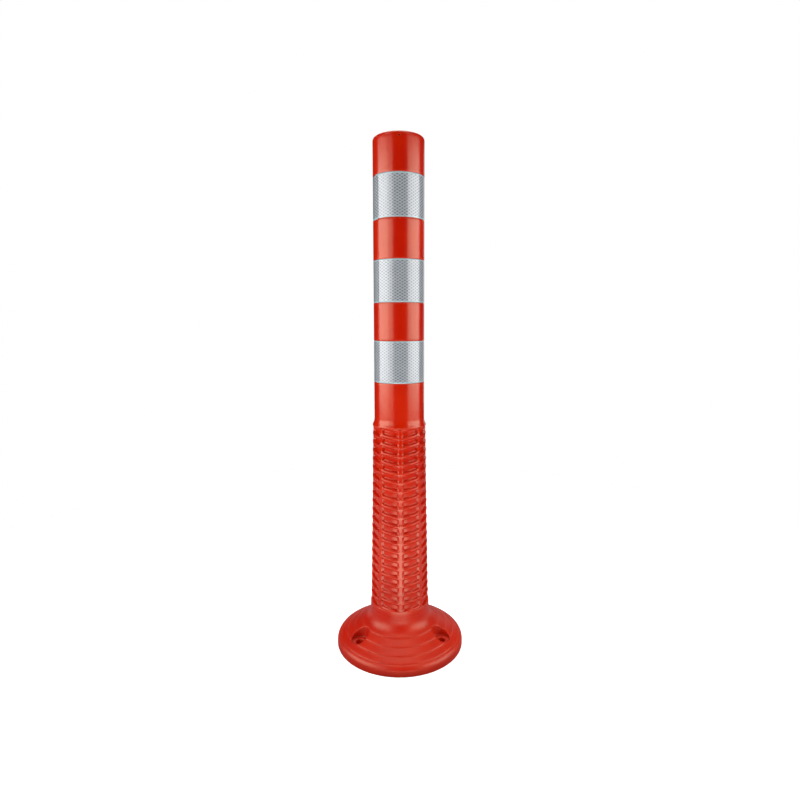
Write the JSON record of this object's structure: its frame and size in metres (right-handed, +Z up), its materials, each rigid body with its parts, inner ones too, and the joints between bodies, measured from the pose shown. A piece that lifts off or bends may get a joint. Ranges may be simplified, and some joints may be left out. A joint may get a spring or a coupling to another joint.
{
  "type": "flexible delineator post",
  "caption": "Flexible round delineator post with bolt-down flange, pocketed bending section, smooth tube and reflective bands.",
  "frame": {"origin": "centre of the base flange's underside, on the road surface", "axes": "+Z up along the post's axis; -Y is the front, between two of the three bolt holes; +X is to the right seen from the front"},
  "size_m": [0.1946, 0.1946, 0.753],
  "materials": {
    "moulding": "smooth satin flexible polyurethane, orange-red",
    "reflective_sheet": "silver-white prismatic reflective sheet"
  },
  "bodies": {
    "base": {"base_flange": "moulding", "lower_flex_section": "moulding"},
    "collar": {"middle_collar": "moulding", "upper_flex_section": "moulding"},
    "post": {"upper_tube": "moulding", "reflective_band_top": "reflective_sheet", "reflective_band_middle": "reflective_sheet", "reflective_band_bottom": "reflective_sheet"}
  },
  "joints": [
    {"name": "bend_front_back", "type": "hinge", "parent": "base", "child": "collar", "pos_m": [0, 0, 0.127], "axis": [1, 0, 0], "range_deg": [-90, 90], "stiffness_Nm_per_rad": 40, "deforming": ["lower_flex_section"]},
    {"name": "bend_left_right", "type": "hinge", "parent": "collar", "child": "post", "pos_m": [0, 0, 0.2765], "axis": [0, 1, 0], "range_deg": [-90, 90], "stiffness_Nm_per_rad": 40, "deforming": ["upper_flex_section"]}
  ]
}
